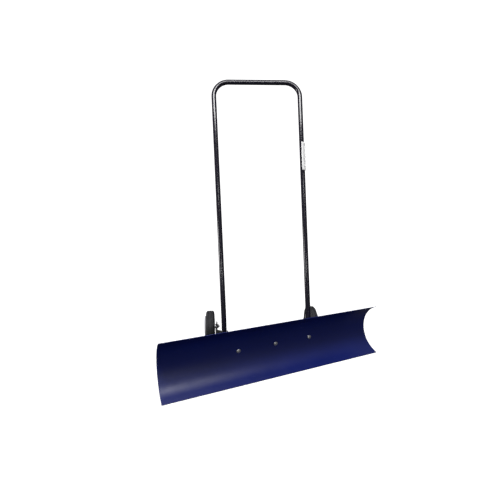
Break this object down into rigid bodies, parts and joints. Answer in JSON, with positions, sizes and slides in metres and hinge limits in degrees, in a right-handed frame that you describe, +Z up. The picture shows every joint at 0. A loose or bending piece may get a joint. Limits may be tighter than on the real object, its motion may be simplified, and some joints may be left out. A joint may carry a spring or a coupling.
{
  "type": "wheeled snow shovel",
  "caption": "Wheeled snow pusher with a U-shaped tube handle and a curved steel blade that swivels left and right behind a clamp knob, on two rubber-tyred wheels.",
  "frame": {"origin": "on the ground, at the centre of the object's bounding box as it stands with its blade angled", "axes": "+Z up; +Y from the blade towards the person who pushes; +X to the right as seen from in front of the blade, along the wheel axles"},
  "size_m": [0.8856, 0.6282, 1.2289],
  "materials": {
    "navy_paint": "satin",
    "black_gloss_paint": "gloss",
    "black_frame_paint": "satin",
    "zinc": "satin",
    "tyre_rubber": "matte",
    "rim_plastic": "satin",
    "black_plastic": "matte",
    "label_film": "satin"
  },
  "bodies": {
    "frame": {"handle": "black_gloss_paint", "pivot_plate": "black_frame_paint", "cross_strap": "black_frame_paint", "left_wheel_arm": "black_frame_paint", "right_wheel_arm": "black_frame_paint", "pivot_bolt": "zinc", "pivot_washer": "zinc", "pivot_nut": "zinc", "clamp_bolt": "zinc", "clamp_washer": "zinc", "left_lower_leg_bolt": "zinc", "left_lower_leg_nut": "zinc", "left_upper_leg_bolt": "zinc", "left_upper_leg_nut": "zinc", "right_lower_leg_bolt": "zinc", "right_lower_leg_nut": "zinc", "right_upper_leg_bolt": "zinc", "right_upper_leg_nut": "zinc", "left_axle_bolt": "zinc", "left_axle_nut": "zinc", "left_axle_washer": "zinc", "left_axle_sleeve": "zinc", "left_axle_spacer": "zinc", "right_axle_bolt": "zinc", "right_axle_nut": "zinc", "right_axle_washer": "zinc", "right_axle_sleeve": "zinc", "right_axle_spacer": "zinc", "left_leg_plug": "black_plastic", "right_leg_plug": "black_plastic", "blank_label": "label_film"},
    "blade_unit": {"blade": "navy_paint", "blade_saddle": "black_frame_paint", "swivel_plate": "black_frame_paint", "left_blade_bolt": "zinc", "left_blade_washer": "zinc", "left_blade_nut": "zinc", "middle_blade_bolt": "zinc", "middle_blade_washer": "zinc", "middle_blade_nut": "zinc", "right_blade_bolt": "zinc", "right_blade_washer": "zinc", "right_blade_nut": "zinc"},
    "left_wheel": {"left_tyre": "tyre_rubber", "left_rim": "rim_plastic"},
    "right_wheel": {"right_tyre": "tyre_rubber", "right_rim": "rim_plastic"},
    "knob": {"clamp_knob": "black_plastic"}
  },
  "joints": [
    {"name": "blade_swivel", "type": "hinge", "parent": "frame", "child": "blade_unit", "pos_m": [-0.03177, -0.03387, 0.078], "axis": [0, 0, 1], "range_deg": [-40, 0]},
    {"name": "left_wheel_spin", "type": "hinge", "parent": "frame", "child": "left_wheel", "pos_m": [-0.28157, 0.23813, 0.076], "axis": [1, 0, 0], "continuous": true},
    {"name": "right_wheel_spin", "type": "hinge", "parent": "frame", "child": "right_wheel", "pos_m": [0.21803, 0.23813, 0.076], "axis": [1, 0, 0], "continuous": true},
    {"name": "knob_turn", "type": "hinge", "parent": "frame", "child": "knob", "pos_m": [-0.03177, 0.07113, 0.0883], "axis": [0, 0, 1], "range_deg": [0, 360]}
  ]
}
